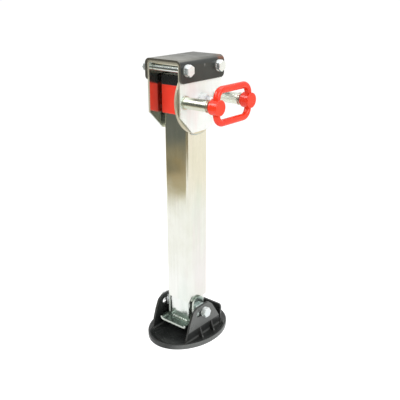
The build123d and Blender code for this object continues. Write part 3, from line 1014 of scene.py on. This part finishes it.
# %% [markdown]
# The picture shows the sheet burnt out to plain white, but the metal mirrors it a
# little less bright and warmer with distance. So the floor itself hides from
# reflections, and a second sheet under the foot shows only in them.


# %% Mirrored sheet
def only_in_mirrors(sheet):
    """Leaves an object of the studio in reflections and out of everything else."""
    sheet.visible_camera = False
    sheet.visible_diffuse = False
    sheet.visible_shadow = False


sheet_mirrored, tree, shader = new_material("mirrored_sheet")
reach = add(
    tree, "ShaderNodeVectorMath", output=1, settings={"operation": "LENGTH"}, n0=place_on(tree)
)
warm = mix(tree, fade(tree, reach, 0.15, 0.6), rgb(255, 255, 255), rgb(251, 251, 247))
warm = mix(tree, fade(tree, reach, 0.6, 0.95), warm, rgb(245, 238, 220))
fill(tree, shader.inputs["Emission Color"], warm)
shader.inputs["Base Color"].default_value = (0, 0, 0, 1)
glow(shader, 1.0)
mirrored_floor = flat_square("mirrored_floor", 12.0, -0.1 * MM, sheet_mirrored)
only_in_mirrors(mirrored_floor)
print("mirrored floor", mirrored_floor.dimensions.x, "m")

# %% [markdown]
# The white sheet ends about 0.6 m in front of the leg. What the metal mirrors beyond
# it is tan and golden near the floor and dark grey above. A photographed panorama
# would bring its own light and detail, so a standing card with those bands plays
# it. Only reflections see the card, and it throws no shadow. A band is a height in
# metres and its colour, which blends into the next one.

# %% Bands of the card
card_height = 0.7
card_bands = [
    (0.0, rgb(252, 252, 249)),
    (0.036, rgb(251, 250, 245)),
    (0.048, rgb(236, 232, 210)),
    (0.058, rgb(206, 197, 166)),
    (0.07, rgb(166, 156, 120)),
    (0.106, rgb(182, 164, 126)),
    (0.124, rgb(122, 115, 90)),
    (0.15, rgb(146, 136, 108)),
    (0.18, rgb(130, 126, 106)),
    (0.205, rgb(104, 106, 97)),
    (0.29, rgb(88, 92, 88)),
]
print("bands", len(card_bands))


# %% Tones of the card
def banded(tree, level):
    """The bands by height, with uneven borders."""
    uneven = fade(tree, cloud(tree, 14.0, 3.0), 0.3, 0.7, -0.015, 0.015)
    share = calc(tree, "DIVIDE", plus(tree, level, uneven), card_height)
    bands = add(tree, "ShaderNodeValToRGB", Fac=share)
    stops = bands.node.color_ramp.elements
    while len(stops) < len(card_bands):
        stops.new(0.5)
    for stop, (height, colour) in zip(stops, card_bands):
        stop.position = height / card_height
        stop.color = colour
    return bands


def card_finish(name):
    """Bands with gold and dark patches over them, which shine by themselves."""
    material, tree, shader = new_material(name)
    level = place_along(tree, "Z")
    above = fade(tree, level, 0.09, 0.13)
    gold = fade(tree, cloud(tree, 30.0, 3.0, offset=(1.3, 0.4, 0.2)), 0.48, 0.66, 0.0, 0.7)
    gold = times(tree, gold, fade(tree, level, 0.2, 0.15))
    dark = fade(tree, cloud(tree, 24.0, 3.0, offset=(7.1, 2.4, 5.2)), 0.5, 0.7, 0.0, 0.6)
    tones = mix(tree, times(tree, gold, above), banded(tree, level), rgb(170, 146, 98))
    tones = mix(tree, times(tree, dark, above), tones, rgb(84, 90, 80))
    fill(tree, shader.inputs["Emission Color"], tones)
    shader.inputs["Base Color"].default_value = (0, 0, 0, 1)
    glow(shader, 1.0)
    return material


print("helpers banded and card_finish")


# %% Standing cards
def standing_card(name, width, place, heading):
    """A card that stands on the ground and only shows in reflections."""
    form = bmesh.new()
    bmesh.ops.create_grid(form, x_segments=1, y_segments=1, size=0.5)
    bmesh.ops.scale(form, verts=form.verts, vec=(width, card_height, 1))
    upright = Matrix.Rotation(heading, 4, "Z") @ Matrix.Rotation(pi / 2, 4, "X")
    stand = Matrix.Translation((*place.xy, card_height / 2)) @ upright
    bmesh.ops.transform(form, verts=form.verts, matrix=stand)
    card = to_object(name, form, card_finish(name))
    only_in_mirrors(card)
    return card


front_place = Vector((-0.67, -0.742, 0)) * 0.62
camera_side_place = Vector((0.64, -0.77, 0)) * 0.8
standing_card("room_card", 1.8, front_place, radians(-42))
standing_card("camera_side_card", 1.1, camera_side_place, radians(40))
print("cards at", [round(place.length, 2) for place in (front_place, camera_side_place)], "m")

# %% [markdown]
# ### Lights
# Three large soft boxes round the stand give broad highlights and no hard shadow.
# Bare lamps would draw small hot spots on the zinc. A white world fills the rest.
# The camera sees that world a little brighter than the metal does, because the
# background of the picture is plain white.


# %% Soft boxes
light_target = Vector((0, 0, 0.3))


def soft_box(name, place, size, power):
    """A large square light that looks at the upper half of the stand."""
    lamp = bpy.data.lights.new(name, "AREA")
    lamp.shape = "SQUARE"
    lamp.size = size
    lamp.energy = power
    box = bpy.data.objects.new(name, lamp)
    box.location = place
    to_stand = light_target - Vector(place)
    box.rotation_euler = to_stand.to_track_quat("-Z", "Y").to_euler()
    scene.collection.objects.link(box)
    return box


soft_box("key_light", (-0.9, -1.3, 1.9), 1.1, 22)
soft_box("top_light", (0.3, 0.5, 2.0), 1.6, 14)
soft_box("side_light", (1.7, -0.2, 1.1), 1.2, 13)
print("lights", 3)

# %% World
world = bpy.data.worlds.new("studio_world")
world.use_nodes = True
sky = world.node_tree.nodes["Background"].inputs
sky["Color"].default_value = (1, 1, 1, 1)
metal_sees = 0.85
camera_sees_more = 0.2
from_camera = add(world.node_tree, "ShaderNodeLightPath")
extra = times(world.node_tree, from_camera, camera_sees_more)
fill(world.node_tree, sky["Strength"], plus(world.node_tree, extra, metal_sees))
scene.world = world
scene.view_settings.view_transform = "Standard"
scene.view_settings.look = "None"
print("world", world.name)
